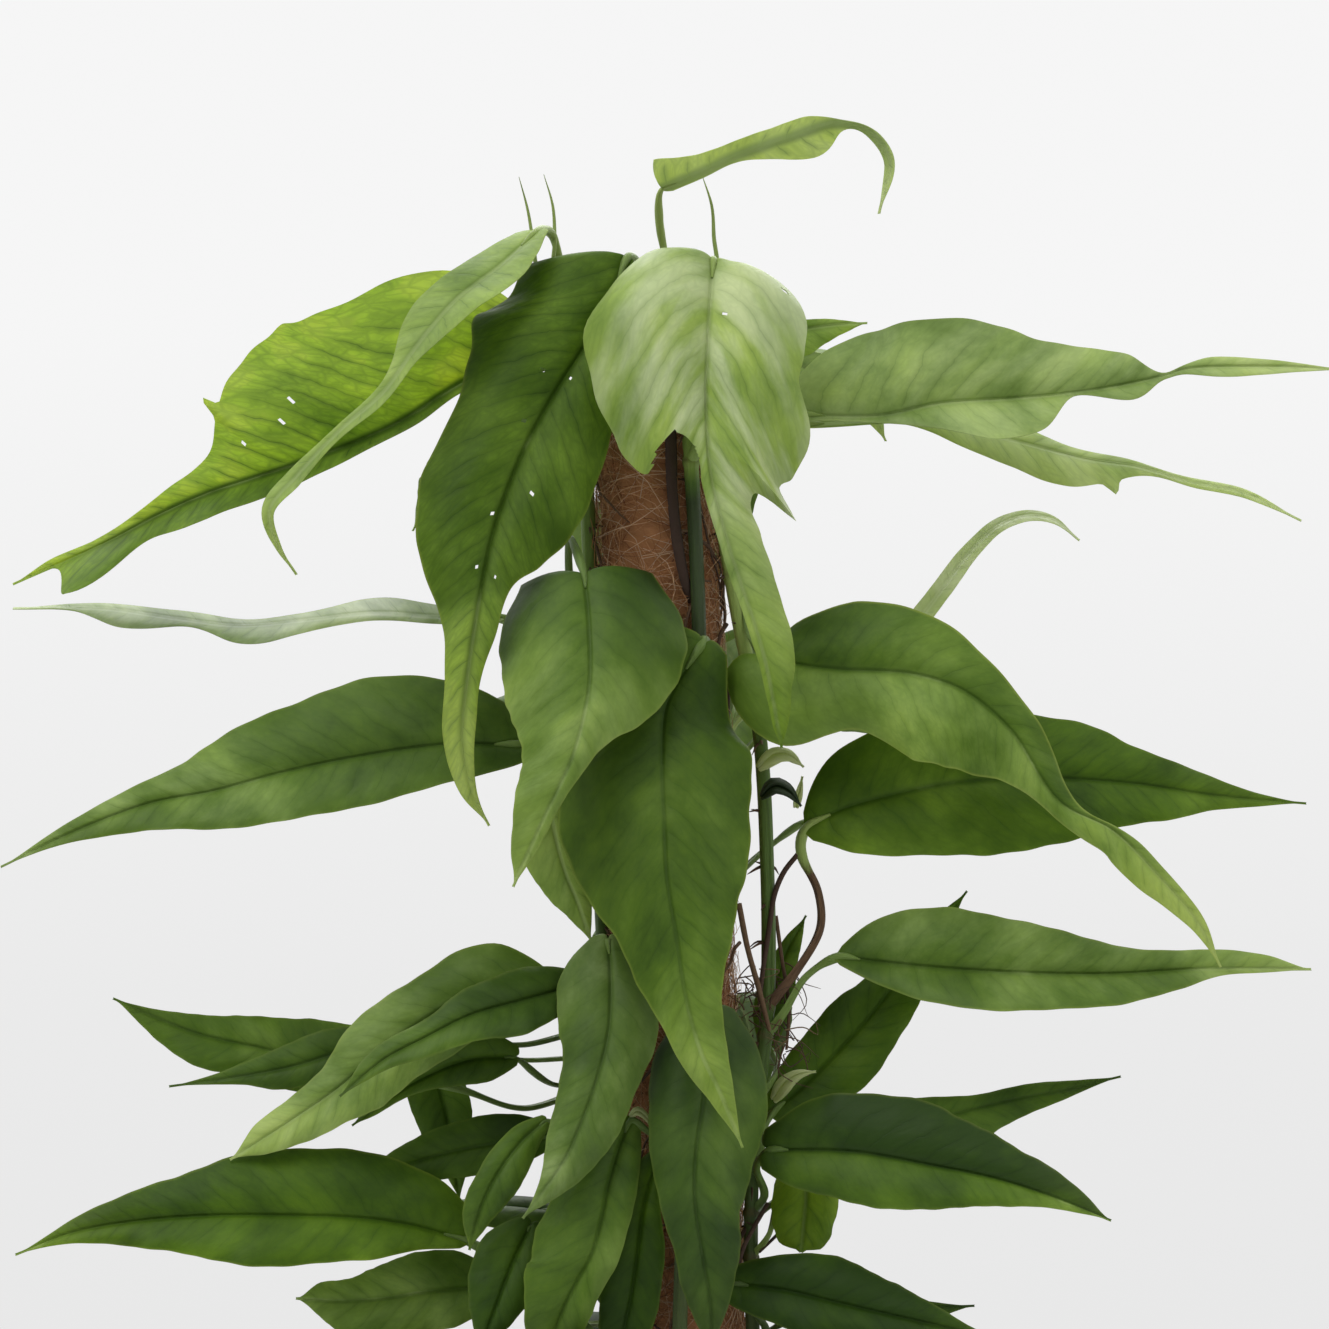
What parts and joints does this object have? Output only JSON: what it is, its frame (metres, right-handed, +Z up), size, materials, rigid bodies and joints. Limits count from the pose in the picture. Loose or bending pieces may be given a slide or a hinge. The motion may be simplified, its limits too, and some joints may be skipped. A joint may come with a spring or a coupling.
{
  "type": "potted climbing house plant",
  "caption": "Climbing aroid with long-tipped, partly lobed leaves on several stems tied round a coir pole, standing in a plain tapered nursery pot of potting soil.",
  "frame": {"origin": "middle of the pot's underside, on the surface that it stands on", "axes": "+Z up; -Y towards the front, the side from which the plant is best seen; +X to the right of someone who looks at the front"},
  "size_m": [0.5451, 0.3009, 0.745],
  "materials": {
    "pot_plastic": "matte, lightly scuffed",
    "potting_soil": "rough, crumbly",
    "pole_wood": "dull",
    "coir": "rough, fibrous",
    "leaf": "semi-gloss, waxy"
  },
  "bodies": {
    "root": {"pot": "pot_plastic", "soil": "potting_soil", "pole_core": "pole_wood", "coir_wrap": "coir", "vine_front": "leaf", "vine_left": "leaf", "vine_right": "leaf", "vine_back_left": "leaf", "vine_back_right": "leaf"}
  },
  "joints": []
}
